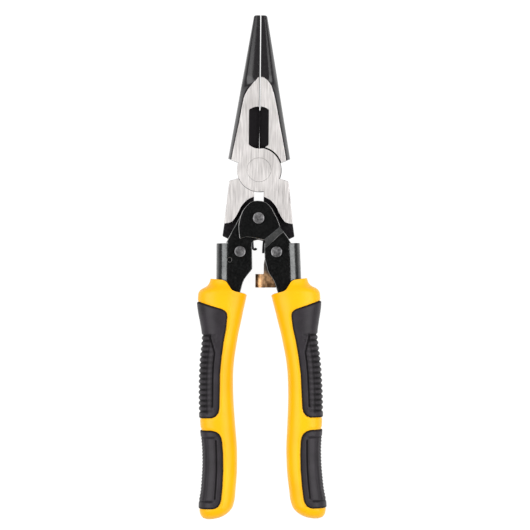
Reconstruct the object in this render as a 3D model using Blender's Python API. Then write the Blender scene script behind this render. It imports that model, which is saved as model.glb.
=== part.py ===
"""Compound-action long-nose pliers with a wire cutter, lying flat and closed.

The plan below is in millimetres. Its zero point is the jaw pivot, +Y runs to the tips, +X to
the right-hand grip, and +Z up through the thickness from the middle plane. The tool is made of
two identical halves, so each outline is given once for the right-hand side, and the left-hand
piece is the same one turned over about the Y axis.
"""

import math

import bmesh
import bpy
from mathutils import Matrix, Vector

MM = 0.001

# Where the jaw pivot stands from the middle of the footprint, on the table plane.
PIVOT = (-2.151, 42.527, 8.4)

# Layers, as heights from the middle plane.
JAW_HALF = 5.0              # ground faces of the jaws
TAIL_HALF = 1.75            # thin blade of each tail, between the arm's cheeks
CLEARANCE = 0.3             # air left between neighbouring pieces
TURNING_CLEARANCE = 0.45    # round the centre pin, where the right arm turns on it
SHEET = 1.7                 # steel sheet of the arms
ARM_HALF = 5.0              # outer faces of the channel arms
LATCH_HALF = 3.0
LATCH_SHEET = 0.9
GRIP_HALF = 8.4             # underside of the grips, which the tool lies on

# Jaws.
TIP_Y = 67.6
TIP_HALF_WIDTH = 2.8
NOSE_BASE_Y = 4.9
NOSE_HALF_WIDTH = 13.5
TIP_HALF_THICKNESS = 1.7
FLAT_END_Y = 40.9       # the ground flat runs out here
JAW_GAP = 0.5
LAP_RADIUS = 9.6
RIVET_HEAD_RADIUS = 5.2
RIVET_SHANK_RADIUS = 3.2
RIVET_HEAD_DEPTH = 1.6
CUTTER_HALF_WIDTH = 4.0
CUTTER_Y = (9.5, 11.2, 26.2, 27.6)

# Linkage.
CENTRE_PIN = (0.0, -21.02)
LINK_PIN = (7.957, -35.63)
PIN_RADIUS = 2.0
CENTRE_HEAD_RADIUS = 2.6
LINK_HEAD_RADIUS = 2.45
HEAD_HEIGHT = 1.1
LOBE_RADIUS = 4.6
RELIEF_RADIUS = 5.2
RIGHT_LEAN = math.radians(1.35)
LEFT_LEAN = math.radians(1.7)

# Return spring and its bush.
COIL_RADIUS = 3.8
COIL_TURNS = 3.5
WIRE_RADIUS = 0.5
BUSH_RADIUS = 2.95

# Grips.
PAD_DEPTH = 2.4
TOE_Y = -152.2

SEGMENTS = 32

RIGHT = Matrix.Identity(4)
LEFT = Matrix.Diagonal((-1.0, 1.0, -1.0, 1.0))


# ---------------------------------------------------------------- materials

def finish(name, colour, roughness, metallic=0.0):
    material = bpy.data.materials.new(name)
    material.use_nodes = True
    shader = material.node_tree.nodes["Principled BSDF"]
    shader.inputs["Base Color"].default_value = (*colour, 1.0)
    shader.inputs["Roughness"].default_value = roughness
    shader.inputs["Metallic"].default_value = metallic
    material.diffuse_color = (*colour, 1.0)
    return material


# ------------------------------------------------------------------ outlines

def arc(centre, radius, start, stop, steps):
    """Points of an arc, its angles in degrees."""
    points = []
    for step in range(steps + 1):
        angle = math.radians(start + (stop - start) * step / steps)
        points.append((centre[0] + radius * math.cos(angle), centre[1] + radius * math.sin(angle)))
    return points


def value_at(table, y):
    """Values of a table at y, each row being y and then its values, from the top down."""
    if y >= table[0][0]:
        return table[0][1:]
    for upper, lower in zip(table, table[1:]):
        if y >= lower[0]:
            share = (upper[0] - y) / (upper[0] - lower[0])
            return tuple(a + (b - a) * share for a, b in zip(upper[1:], lower[1:]))
    return table[-1][1:]


def grown(outline, distance):
    """The outline with each of its corners moved out by the distance."""
    area = sum(a[0] * b[1] - b[0] * a[1] for a, b in zip(outline, outline[1:] + outline[:1]))
    turn = 1 if area > 0 else -1
    moved = []
    for i, corner in enumerate(outline):
        before = (Vector(corner) - Vector(outline[i - 1])).normalized()
        after = (Vector(outline[(i + 1) % len(outline)]) - Vector(corner)).normalized()
        normal = Vector((before.y + after.y, -before.x - after.x)) * turn
        moved.append(tuple(Vector(corner) + normal.normalized() * distance))
    return moved


# -------------------------------------------------------------------- solids

def as_object(name, bm, material, turn, pivot=(0.0, 0.0), cutter=False):
    """A new object from a mesh in plan millimetres, with its origin on the pivot."""
    bmesh.ops.recalc_face_normals(bm, faces=bm.faces)
    bmesh.ops.transform(bm, matrix=turn, verts=bm.verts)
    origin = turn @ Vector((*pivot, 0.0))
    bmesh.ops.translate(bm, vec=-origin, verts=bm.verts)
    bmesh.ops.scale(bm, vec=(MM, MM, MM), verts=bm.verts)
    mesh = bpy.data.meshes.new(name)
    bm.to_mesh(mesh)
    bm.free()
    if material:
        mesh.materials.append(material)
    mesh.shade_smooth()
    mesh.set_sharp_from_angle(angle=math.radians(32))
    thing = bpy.data.objects.new(name, mesh)
    bpy.context.scene.collection.objects.link(thing)
    thing.parent = bpy.data.objects["jaw_pivot_axis"]
    thing.location = origin * MM
    if cutter:
        thing.hide_render = True
        thing.display_type = "WIRE"
    return thing


def add_prism(bm, outline, low, high):
    """Adds a plate of the outline between two heights."""
    rim = [bm.verts.new((x, y, low)) for x, y in outline]
    face = bm.faces.new(rim)
    grown_part = bmesh.ops.extrude_face_region(bm, geom=[face])["geom"]
    lifted = [item for item in grown_part if isinstance(item, bmesh.types.BMVert)]
    bmesh.ops.translate(bm, vec=(0, 0, high - low), verts=lifted)


def add_loft(bm, sections):
    """Adds a solid through rings of points, with flat ends."""
    rings = [[bm.verts.new(point) for point in section] for section in sections]
    for ring, following in zip(rings, rings[1:]):
        for i in range(len(ring)):
            j = (i + 1) % len(ring)
            bm.faces.new((ring[i], ring[j], following[j], following[i]))
    bm.faces.new(rings[0])
    bm.faces.new(rings[-1])


def add_turned(bm, centre, profile, segments=SEGMENTS):
    """Adds a turned solid, its profile given as radius and height, closed on the axis."""
    add_loft(bm, [[(centre[0] + radius * math.cos(2 * math.pi * i / segments),
                    centre[1] + radius * math.sin(2 * math.pi * i / segments), height)
                   for i in range(segments)] for radius, height in profile])


def combine(target, operation, *others):
    for other in others:
        boolean = target.modifiers.new(f"{operation.lower()} {other.name}", "BOOLEAN")
        boolean.operation = operation
        boolean.object = other


def plate(name, outline, low, high, turn, pivot=(0.0, 0.0)):
    bm = bmesh.new()
    add_prism(bm, outline, low, high)
    return as_object(name, bm, None, turn, pivot, cutter=True)


def drill(name, centre, radius, turn, pivot, low=-12.0, high=12.0):
    bm = bmesh.new()
    add_turned(bm, centre, [(radius, low), (radius, high)])
    return as_object(name, bm, None, turn, pivot, cutter=True)


# ---------------------------------------------------------------------- jaws

# Half width of the ground flat on the nose, from the lap joint to where it runs out.
FLAT_HALF_WIDTHS = [(FLAT_END_Y, 0.6), (39.2, 3.3), (37.3, 4.6), (33.1, 6.3), (27.5, 7.6),
                    (21.0, 8.6), (13.0, 10.3), (NOSE_BASE_Y, 12.0)]
NOSE_STATIONS = [TIP_Y, 66.9, 62.0, 54.0, 47.0, 43.0, FLAT_END_Y, 39.2, 37.3, 33.1, 27.5, 21.0,
                 13.0, NOSE_BASE_Y]


def nose_section(y):
    """One ring of the nose on the -X side: a flat inner face and a rounded outer one."""
    share = (y - NOSE_BASE_Y) / (TIP_Y - NOSE_BASE_Y)
    half_width = NOSE_HALF_WIDTH + (TIP_HALF_WIDTH - NOSE_HALF_WIDTH) * share
    flat = value_at(FLAT_HALF_WIDTHS, y)[0] if y < FLAT_END_Y else 0.6
    past_flat = max(0.0, y - FLAT_END_Y) / (TIP_Y - FLAT_END_Y)
    half = JAW_HALF + (TIP_HALF_THICKNESS - JAW_HALF) * past_flat
    if y == TIP_Y:
        half_width -= 0.4
        half -= 0.4
    ring = [(-JAW_GAP / 2, -half)]
    for step in range(11):
        angle = math.pi * (step / 10 - 0.5)
        ring.append((-flat - (half_width - flat) * math.cos(angle), half * math.sin(angle)))
    ring.append((-JAW_GAP / 2, half))
    slope = 0.4 if y == NOSE_BASE_Y else 0.0
    return [(x, y - slope * (NOSE_HALF_WIDTH + x), z) for x, z in ring]


def tail_outlines():
    """The thick part of the right-hand tail and the thin blade that reaches the link pin."""
    inner = 2.1
    step_edge = [(inner, -11.7), (4.9, -13.1), (6.7, -14.9), (7.9, -16.6), (8.9, -18.7), (10.0, -20.7),
                 (11.4, -22.4), (12.6, -23.2), (15.0, -23.6)]
    outer = [(13.05, -5.6), (12.4, -4.7), (8.8, -3.7), (4.0, -3.0)]
    thick = [(inner, -8.0), *step_edge, *outer]
    relief_start = math.degrees(math.acos(inner / RELIEF_RADIUS))
    blade = [(inner, -9.0), *arc(CENTRE_PIN, RELIEF_RADIUS, relief_start, -25, 8), (4.8, -31.6),
             *arc(LINK_PIN, LOBE_RADIUS, 130, 360, 14), (12.7, -30.4), (15.7, -29.0), (15.0, -23.6),
             (13.6, -12.0), (8.0, -6.0)]
    return thick, blade


def cutter_recess(name, turn):
    """The two V-shaped pockets whose slopes meet at the cutting edges."""
    bm = bmesh.new()
    low_tip, low, high, high_tip = CUTTER_Y
    reach = JAW_HALF + 1.0
    steepness = (CUTTER_HALF_WIDTH - JAW_GAP / 2) / JAW_HALF
    for side in (1, -1):
        rings = []
        for height in (reach, 0.9):
            half = JAW_GAP / 2 + steepness * height
            rings.append([(x * half, y, side * height) for x, y in
                          ((0, low_tip), (1, low), (1, high), (0, high_tip), (-1, high), (-1, low))])
        add_loft(bm, rings)
    return as_object(name, bm, None, turn, cutter=True)


def jaw(name, turn, material):
    """One jaw: a nose on one side of the lap joint and a tail on the other."""
    bm = bmesh.new()
    add_loft(bm, [nose_section(y) for y in NOSE_STATIONS])
    body = as_object(name, bm, material, turn)
    thick, blade = tail_outlines()
    bottom = CLEARANCE / 2
    combine(body, "UNION", plate(f"{name} tail", thick, -JAW_HALF, JAW_HALF, turn),
            plate(f"{name} blade", blade, -TAIL_HALF, TAIL_HALF, turn))
    combine(body, "DIFFERENCE",
            drill(f"{name} lap", (0, 0), LAP_RADIUS + CLEARANCE, turn, (0, 0), -12.0, bottom))
    bm = bmesh.new()
    add_turned(bm, (0, 0), [(LAP_RADIUS, bottom), (LAP_RADIUS, JAW_HALF)], 48)
    combine(body, "UNION", as_object(f"{name} disc", bm, None, turn, cutter=True))
    combine(body, "DIFFERENCE",
            drill(f"{name} bore", (0, 0), RIVET_SHANK_RADIUS + CLEARANCE, turn, (0, 0)),
            drill(f"{name} counterbore", (0, 0), RIVET_HEAD_RADIUS + CLEARANCE, turn, (0, 0),
                  JAW_HALF - RIVET_HEAD_DEPTH - CLEARANCE),
            drill(f"{name} link bore", LINK_PIN, PIN_RADIUS + CLEARANCE, turn, (0, 0)),
            cutter_recess(f"{name} cutter", turn))
    return body


def jaw_rivet(material):
    bm = bmesh.new()
    inner = JAW_HALF - RIVET_HEAD_DEPTH
    add_turned(bm, (0, 0), [(RIVET_HEAD_RADIUS, -JAW_HALF), (RIVET_HEAD_RADIUS, -inner),
                            (RIVET_SHANK_RADIUS, -inner), (RIVET_SHANK_RADIUS, inner),
                            (RIVET_HEAD_RADIUS, inner), (RIVET_HEAD_RADIUS, JAW_HALF)])
    return as_object("jaw_rivet", bm, material, RIGHT)


# ---------------------------------------------------------------------- arms

# Channel arm: y, inner edge of the cheeks, outer face of the web, half thickness.
CHANNEL = [(-31.9, 2.75, 18.2, ARM_HALF), (-38.0, 2.75, 18.35, ARM_HALF), (-43.4, 2.8, 18.5, ARM_HALF),
           (-45.2, 4.3, 18.55, ARM_HALF), (-47.6, 6.3, 18.6, ARM_HALF), (-49.8, 7.2, 18.7, ARM_HALF),
           (-52.0, 7.8, 18.8, ARM_HALF), (-57.0, 9.4, 19.3, 4.9), (-63.0, 11.2, 20.0, 4.8),
           (-72.0, 12.8, 20.8, 4.7), (-86.0, 13.9, 21.7, 4.6), (-104.0, 14.4, 22.0, 4.5),
           (-130.0, 14.6, 21.4, 4.5)]
BEND_WIDTH = 4.7


def lean(point, amount):
    """A point of the handle turned about the link pin by the handle's lean."""
    x, y, z = point
    dx, dy = x - LINK_PIN[0], y - LINK_PIN[1]
    return (LINK_PIN[0] + dx * math.cos(amount) - dy * math.sin(amount),
            LINK_PIN[1] + dx * math.sin(amount) + dy * math.cos(amount), z)


def channel_section(y, inner, outer, half):
    """One ring of the U-shaped channel, open towards the middle of the tool."""
    start = outer - BEND_WIDTH
    ring = [(inner, half)]
    for step in range(9):
        angle = math.pi * (0.5 - step / 8)
        ring.append((start + BEND_WIDTH * math.cos(angle), half * math.sin(angle)))
    ring += [(inner, -half), (inner, SHEET - half)]
    for step in range(7):
        angle = math.pi * (step / 6 - 0.5)
        ring.append((start + (BEND_WIDTH - SHEET) * math.cos(angle), (half - SHEET) * math.sin(angle)))
    ring.append((inner, half - SHEET))
    return [(x, y, z) for x, z in ring]


PLAIN_EAR = [(13.3, -36.0), (13.3, -32.0), (14.0, -31.7), (12.8, -29.2), (9.1, -22.2), (6.6, -17.6),
             (4.4, -15.2), (1.8, -14.1), (-1.2, -14.1), (-4.2, -15.4), (-6.4, -17.8), (-7.6, -21.2),
             (-7.0, -25.2), (-4.9, -28.4), (-2.4, -30.1), (1.6, -30.6), (2.6, -31.6), (2.9, -36.0)]
JOGGLED_EAR = [(9.5, -25.0), (9.0, -23.1), (6.2, -17.6), (4.1, -14.9), (2.0, -13.8), (-0.3, -13.5),
               (-2.3, -13.7), (-3.9, -14.4), (-6.4, -17.1), (-8.1, -21.0), (-8.7, -24.4),
               (-8.2, -30.2), (-5.2, -29.2), (-2.1, -29.6), (2.7, -30.7)]
JOGGLE = [((9.5, -25.0), (2.7, -30.7)), ((10.9, -26.8), (3.2, -34.0))]
EAR_FOOT = [(10.9, -26.8), (12.8, -29.2), (14.2, -31.7), (13.3, -32.0), (13.3, -36.0), (2.9, -36.0),
            (3.2, -34.0)]


def joggle_solid(name, turn):
    """The slanted band that lifts the outer ear over its neighbour."""
    (a, b), (c, d) = JOGGLE
    overlap = (Vector(a) - Vector(c)).normalized() * 0.5
    low = ARM_HALF - SHEET
    lift = SHEET + CLEARANCE
    bm = bmesh.new()
    rings = []
    for left, right, height in ((Vector(a) + overlap, Vector(b) + overlap, low + lift),
                                (Vector(a), Vector(b), low + lift),
                                (Vector(c), Vector(d), low),
                                (Vector(c) - overlap, Vector(d) - overlap, low)):
        rings.append([(*left, height), (*right, height), (*right, height + SHEET), (*left, height + SHEET)])
    add_loft(bm, rings)
    return as_object(name, bm, None, turn, LINK_PIN, cutter=True)


def arm(name, turn, amount, centre_clearance, material):
    """One channel arm with a plain ear and a joggled one, both round the centre pin."""
    bm = bmesh.new()
    add_loft(bm, [[lean(p, amount) for p in channel_section(*row)] for row in CHANNEL])
    body = as_object(name, bm, material, turn, LINK_PIN)
    low = ARM_HALF - SHEET
    lift = SHEET + CLEARANCE
    combine(body, "UNION",
            plate(f"{name} plain ear", PLAIN_EAR, -ARM_HALF, -low, turn, LINK_PIN),
            plate(f"{name} ear foot", EAR_FOOT, low, ARM_HALF, turn, LINK_PIN),
            plate(f"{name} joggled ear", JOGGLED_EAR, low + lift, ARM_HALF + lift, turn, LINK_PIN),
            joggle_solid(f"{name} joggle", turn))
    combine(body, "DIFFERENCE",
            drill(f"{name} centre bore", CENTRE_PIN, PIN_RADIUS + centre_clearance, turn, LINK_PIN),
            drill(f"{name} link bore", LINK_PIN, PIN_RADIUS + CLEARANCE, turn, LINK_PIN))
    return body


def headed_pin(name, centre, head_radius, shoulder, turn, material):
    """A rivet with a flat head at each end, its edges slightly rounded."""
    top = shoulder + HEAD_HEIGHT
    edge = 0.25
    half = [(PIN_RADIUS, shoulder), (head_radius, shoulder), (head_radius, top - edge),
            (head_radius - edge, top)]
    profile = [(radius, -height) for radius, height in reversed(half)] + half
    bm = bmesh.new()
    add_turned(bm, centre, profile, 24)
    return as_object(name, bm, material, turn, centre)


# -------------------------------------------------------------- spring, latch

def spring_bush(material):
    half = ARM_HALF - SHEET - CLEARANCE
    inner = PIN_RADIUS + CLEARANCE
    profile = [(BUSH_RADIUS, -half), (BUSH_RADIUS, half), (inner, half), (inner, -half)]
    bm = bmesh.new()
    rings = [[(CENTRE_PIN[0] + r * math.cos(a), CENTRE_PIN[1] + r * math.sin(a), z) for r, z in profile]
             for a in (2 * math.pi * i / 24 for i in range(24))]
    verts = [[bm.verts.new(point) for point in ring] for ring in rings]
    for i, ring in enumerate(verts):
        following = verts[(i + 1) % len(verts)]
        for j in range(4):
            k = (j + 1) % 4
            bm.faces.new((ring[j], ring[k], following[k], following[j]))
    return as_object("spring_bush", bm, material, RIGHT, CENTRE_PIN)


def return_spring(material):
    """A torsion spring round the bush, with a leg down each side of the throat."""
    rise = ARM_HALF - SHEET - CLEARANCE - WIRE_RADIUS
    points = [Vector((2.15, -35.8, -1.1)), Vector((2.3, -32.0, -1.3)), Vector((3.2, -26.0, -2.0))]
    steps = round(COIL_TURNS * 14)
    for step in range(steps + 1):
        share = step / steps
        angle = 2 * math.pi * COIL_TURNS * share
        points.append(Vector((CENTRE_PIN[0] + COIL_RADIUS * math.cos(angle),
                              CENTRE_PIN[1] + COIL_RADIUS * math.sin(angle),
                              rise * (2 * share - 1))))
    points += [Vector((-3.4, -26.0, 2.0)), Vector((-2.6, -31.5, 1.3)), Vector((-2.5, -33.8, 1.1)),
               Vector((-2.0, -34.7, 1.1)), Vector((-1.2, -34.6, 1.1))]
    curve = bpy.data.curves.new("return_spring", "CURVE")
    curve.dimensions = "3D"
    curve.bevel_depth = WIRE_RADIUS * MM
    curve.bevel_resolution = 1
    curve.use_fill_caps = True
    spline = curve.splines.new("POLY")
    spline.points.add(len(points) - 1)
    origin = Vector((*CENTRE_PIN, 0.0))
    for point, place in zip(spline.points, points):
        point.co = (*((place - origin) * MM), 1.0)
    curve.materials.append(material)
    thing = bpy.data.objects.new("return_spring", curve)
    bpy.context.scene.collection.objects.link(thing)
    thing.parent = bpy.data.objects["jaw_pivot_axis"]
    thing.location = origin * MM
    return thing


LATCH_CHEEK = [(8.1, -51.2), (1.5, -51.2), (1.5, -45.5), (2.6, -45.0), (2.6, -40.0),
               *arc(LINK_PIN, LOBE_RADIUS, 205, -35, 14), (9.2, -44.6)]


def latch(material):
    """A folded sheet: two cheeks on the link pin, joined by a round thumb tab."""
    inner = LATCH_HALF - LATCH_SHEET
    bm = bmesh.new()
    rings = []
    centre_x = -1.2 + LATCH_HALF
    for y in (-51.3, -45.4):
        ring = [(centre_x + 1.0, LATCH_HALF)]
        for step in range(11):
            angle = math.pi * (0.5 + step / 10)
            ring.append((centre_x + LATCH_HALF * math.cos(angle), LATCH_HALF * math.sin(angle)))
        ring += [(centre_x + 1.0, -LATCH_HALF), (centre_x + 1.0, -inner)]
        for step in range(9):
            angle = math.pi * (1.5 - step / 8)
            ring.append((centre_x + inner * math.cos(angle), inner * math.sin(angle)))
        ring.append((centre_x + 1.0, inner))
        rings.append([(x, y, z) for x, z in ring])
    add_loft(bm, rings)
    body = as_object("latch", bm, material, RIGHT, LINK_PIN)
    combine(body, "UNION", plate("latch front cheek", LATCH_CHEEK, inner, LATCH_HALF, RIGHT, LINK_PIN),
            plate("latch back cheek", LATCH_CHEEK, -LATCH_HALF, -inner, RIGHT, LINK_PIN))
    combine(body, "DIFFERENCE",
            drill("latch bore", LINK_PIN, PIN_RADIUS + CLEARANCE, RIGHT, LINK_PIN))
    return body


# --------------------------------------------------------------------- grips

# Grip: y, inner edge, outer edge, half thickness. Level rows at the shoulder and near the toe
# make the flats that the tool lies on.
GRIP = [(-46.6, 4.6, 21.0, 6.6), (-49.2, 4.6, 21.7, 6.9), (-50.6, 4.6, 22.9, 7.2), (-51.8, 4.7, 25.3, 7.8),
        (-53.3, 4.9, 26.6, 8.2), (-55.4, 5.6, 26.9, GRIP_HALF), (-58.4, 6.3, 27.0, GRIP_HALF),
        (-62.0, 7.2, 26.6, 8.2), (-66.0, 8.1, 25.9, 7.9), (-71.2, 9.35, 25.3, 7.6), (-76.5, 10.4, 25.7, 7.6),
        (-82.0, 11.35, 26.4, 7.7), (-88.0, 12.0, 26.85, 7.85), (-95.0, 12.2, 27.1, 8.0),
        (-101.5, 12.1, 27.2, 8.0), (-108.0, 11.8, 26.8, 8.0), (-114.0, 11.45, 26.5, 7.9),
        (-121.0, 11.05, 26.2, 7.8), (-128.0, 11.1, 26.2, 7.9), (-134.0, 11.4, 26.6, 8.1),
        (-139.5, 12.0, 27.1, GRIP_HALF), (-144.0, 12.5, 27.9, GRIP_HALF), (-147.3, 13.5, 28.0, 8.15),
        (-149.3, 15.1, 27.8, 7.4), (-150.7, 17.0, 27.3, 6.2), (-151.7, 19.3, 26.4, 4.4),
        (TOE_Y, 21.5, 25.0, 2.4)]
MOUTH = [(0.0, -40.0), (0.0, -56.0), (5.0, -55.4), (6.1, -54.2), (8.3, -53.5), (11.5, -52.5), (12.9, -50.6),
         (14.4, -48.5), (16.1, -47.8), (20.9, -47.3), (32.0, -47.2), (32.0, -40.0)]
UPPER_PAD = [(32.0, -57.0), (26.3, -57.2), (20.2, -59.2), (16.2, -60.5), (14.6, -61.7), (14.1, -63.9),
             (14.9, -69.0), (16.1, -74.6), (17.15, -81.7), (17.8, -88.9), (18.15, -100.5),
             (18.3, -104.6), (19.3, -106.9), (21.5, -107.9), (32.0, -108.0)]
LOWER_PAD = [(32.0, -113.4), (21.7, -113.8), (18.7, -115.0), (17.4, -117.4), (17.05, -123.3),
             (17.1, -130.5), (17.6, -137.8), (18.2, -143.2), (19.2, -146.2), (21.8, -147.4),
             (32.0, -147.0)]


def grip_rings(amount, inset=0.0, squareness=2.5, count=20):
    """Rings of the grip's rounded section, drawn in by the inset."""
    rings = []
    spread = math.cos(math.pi / count) ** (-2 / squareness)
    for y, inner, outer, half in GRIP:
        middle = (inner + outer) / 2
        wide = max(0.4, (outer - inner) / 2 - inset) * spread
        high = max(0.4, half - inset) * spread
        ring = []
        for i in range(count):
            angle = 2 * math.pi * (i + 0.5) / count
            c, s = math.cos(angle), math.sin(angle)
            ring.append(lean((middle + wide * math.copysign(abs(c) ** (2 / squareness), c), y,
                              high * math.copysign(abs(s) ** (2 / squareness), s)), amount))
        rings.append(ring)
    return rings


def grip_solid(name, turn, amount, material, inset=0.0):
    bm = bmesh.new()
    add_loft(bm, grip_rings(amount, inset))
    return as_object(name, bm, material, turn, LINK_PIN, cutter=material is None)


def tang_pocket(name, turn, amount):
    """The hollow in the grip that the channel arm is pushed into."""
    bm = bmesh.new()
    rings = []
    for y, inner, outer, half in [(-42.0, 2.75, 18.5, ARM_HALF), *CHANNEL[3:-1], (-130.5, 14.6, 21.4, 4.5)]:
        start = outer - BEND_WIDTH
        ring = [(inner - CLEARANCE, half + CLEARANCE)]
        for step in range(9):
            angle = math.pi * (0.5 - step / 8)
            ring.append((start + (BEND_WIDTH + CLEARANCE) * math.cos(angle),
                         (half + CLEARANCE) * math.sin(angle)))
        ring.append((inner - CLEARANCE, -half - CLEARANCE))
        rings.append([lean((x, y, z), amount) for x, z in ring])
    add_loft(bm, rings)
    return as_object(name, bm, None, turn, LINK_PIN, cutter=True)


def leaning_plate(name, outline, turn, amount):
    leaned = [lean((x, y, 0.0), amount)[:2] for x, y in outline]
    return plate(name, leaned, -12.0, 12.0, turn, LINK_PIN)


def grip(side, turn, amount, hard, soft):
    """The hard grip of one handle, and the two soft pads set into its outer side."""
    body = grip_solid(f"{side}_grip", turn, amount, hard)
    combine(body, "DIFFERENCE", leaning_plate(f"{side} mouth", MOUTH, turn, amount),
            tang_pocket(f"{side} pocket", turn, amount))
    for level, outline in (("upper", UPPER_PAD), ("lower", LOWER_PAD)):
        core = grip_solid(f"{side} {level} core", turn, amount, None, PAD_DEPTH + CLEARANCE)
        recess = leaning_plate(f"{side} {level} recess", grown(outline, CLEARANCE), turn, amount)
        combine(recess, "DIFFERENCE", core)
        combine(body, "DIFFERENCE", recess)
        pad = grip_solid(f"{side}_{level}_pad", turn, amount, soft)
        combine(pad, "INTERSECT", leaning_plate(f"{side} {level} edge", outline, turn, amount))
        combine(pad, "DIFFERENCE",
                grip_solid(f"{side} {level} back", turn, amount, None, PAD_DEPTH))
    return body


# ------------------------------------------------------------------ assembly

def clear_scene():
    for thing in list(bpy.data.objects):
        bpy.data.objects.remove(thing, do_unlink=True)


def build():
    clear_scene()
    axis = bpy.data.objects.new("jaw_pivot_axis", None)
    axis.location = Vector(PIVOT) * MM
    bpy.context.scene.collection.objects.link(axis)

    ground = finish("ground steel", (0.62, 0.60, 0.58), 0.32, 1.0)
    black = finish("black oxide", (0.03, 0.03, 0.032), 0.42, 0.6)
    rivet = finish("rivet steel", (0.22, 0.215, 0.22), 0.45, 1.0)
    wire = finish("spring steel", (0.05, 0.05, 0.055), 0.35, 1.0)
    brass = finish("passivated steel", (0.52, 0.33, 0.16), 0.3, 1.0)
    yellow = finish("yellow grip", (0.95, 0.52, 0.01), 0.4)
    rubber = finish("soft pad", (0.07, 0.065, 0.068), 0.6)

    jaw("front_lap_jaw", RIGHT, ground)
    jaw("rear_lap_jaw", LEFT, ground)
    jaw_rivet(ground)
    arm("right_arm", RIGHT, RIGHT_LEAN, TURNING_CLEARANCE, black)
    arm("left_arm", LEFT, -LEFT_LEAN, CLEARANCE, black)
    outer_ear = ARM_HALF + SHEET + CLEARANCE
    headed_pin("centre_rivet", CENTRE_PIN, CENTRE_HEAD_RADIUS, outer_ear + CLEARANCE, RIGHT, rivet)
    headed_pin("right_link_rivet", LINK_PIN, LINK_HEAD_RADIUS, ARM_HALF + CLEARANCE, RIGHT, rivet)
    headed_pin("left_link_rivet", LINK_PIN, LINK_HEAD_RADIUS, ARM_HALF + CLEARANCE, LEFT, rivet)
    spring_bush(rivet)
    return_spring(wire)
    latch(brass)
    grip("right", RIGHT, RIGHT_LEAN, yellow, rubber)
    grip("left", LEFT, -LEFT_LEAN, yellow, rubber)


build()
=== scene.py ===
import math

import bmesh
import bpy
from mathutils import Matrix, Vector


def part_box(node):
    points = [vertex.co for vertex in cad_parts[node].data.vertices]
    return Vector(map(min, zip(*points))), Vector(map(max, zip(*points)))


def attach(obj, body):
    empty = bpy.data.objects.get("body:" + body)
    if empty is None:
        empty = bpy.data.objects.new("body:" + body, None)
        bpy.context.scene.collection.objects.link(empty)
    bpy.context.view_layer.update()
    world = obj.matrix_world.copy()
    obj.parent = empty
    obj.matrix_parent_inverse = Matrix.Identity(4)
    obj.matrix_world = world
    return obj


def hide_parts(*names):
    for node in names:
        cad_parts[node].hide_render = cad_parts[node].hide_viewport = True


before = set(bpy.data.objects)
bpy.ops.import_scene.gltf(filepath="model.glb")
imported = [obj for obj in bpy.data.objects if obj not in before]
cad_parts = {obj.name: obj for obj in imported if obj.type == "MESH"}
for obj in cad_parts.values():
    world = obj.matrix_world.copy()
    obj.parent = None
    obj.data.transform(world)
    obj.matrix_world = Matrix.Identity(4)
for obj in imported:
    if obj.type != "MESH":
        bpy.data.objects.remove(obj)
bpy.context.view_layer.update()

# Shapes are made in plan millimetres: zero at the jaw pivot, +Y to the tips, +X to the right
# grip, +Z up from the middle of the thickness. Left-hand pieces are right-hand ones turned over.
mm = 0.001
rightSide = Matrix.Identity(4)
leftSide = Matrix.Diagonal((-1.0, 1.0, -1.0, 1.0))


def boxMiddle(node):
    low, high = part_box(node)
    return (Vector(low) + Vector(high)) / 2


pivot = boxMiddle("jaw_rivet")


def planPoint(node):
    offset = (boxMiddle(node) - pivot) / mm
    return (offset.x, offset.y)


def planSize(node, axis):
    low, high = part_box(node)
    return (high[axis] - low[axis]) / mm


centrePin = planPoint("centre_rivet")
linkPin = planPoint("right_link_rivet")
jawHalf = planSize("front_lap_jaw", 2) / 2
padRoom = 0.35              # kept free under each grip, for its pads
gripHalf = pivot.z / mm - padRoom
tipY = (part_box("front_lap_jaw")[1][1] - pivot.y) / mm


# Helpers for outlines.

def arcPoints(centre, radius, start, stop, steps):
    points = []
    for step in range(steps + 1):
        angle = math.radians(start + (stop - start) * step / steps)
        points.append((centre[0] + radius * math.cos(angle), centre[1] + radius * math.sin(angle)))
    return points


def blendRows(rows, share, index):
    # One point of a smooth curve through rows of numbers, between row index and the next.
    a = rows[max(index - 1, 0)]
    b, c = rows[index], rows[index + 1]
    d = rows[min(index + 2, len(rows) - 1)]
    return tuple(0.5 * (2 * q + (r - p) * share + (2 * p - 5 * q + 4 * r - s) * share ** 2
                        + (3 * q - p - 3 * r + s) * share ** 3) for p, q, r, s in zip(a, b, c, d))


def curveThrough(rows, steps):
    spans = range(len(rows) - 1)
    smooth = [blendRows(rows, step / steps, i) for i in spans for step in range(steps)]
    return smooth + [tuple(rows[-1])]


def valueAt(rows, y):
    # Values of a table at y; each row is y, then its values, from the top down.
    if y >= rows[0][0]:
        return rows[0][1:]
    for upper, lower in zip(rows, rows[1:]):
        if y >= lower[0]:
            share = (upper[0] - y) / (upper[0] - lower[0])
            return tuple(p + (q - p) * share for p, q in zip(upper[1:], lower[1:]))
    return rows[-1][1:]


def smoothValueAt(rows, y):
    for i in range(len(rows) - 1):
        if rows[i][0] >= y >= rows[i + 1][0]:
            share = (rows[i][0] - y) / (rows[i][0] - rows[i + 1][0])
            return blendRows(rows, share, i)[1:]
    return valueAt(rows, y)


def easeBetween(low, high, value):
    share = min(max((value - low) / (high - low), 0.0), 1.0)
    return share * share * (3 - 2 * share)


def planDistance(x, y, line):
    # Shortest distance from a point to a run of straight lines.
    best = 1e9
    for (ax, ay), (bx, by) in zip(line, line[1:]):
        dx, dy = bx - ax, by - ay
        share = min(max(((x - ax) * dx + (y - ay) * dy) / (dx * dx + dy * dy), 0.0), 1.0)
        best = min(best, math.hypot(x - ax - dx * share, y - ay - dy * share))
    return best


# Helpers for solids.

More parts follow.
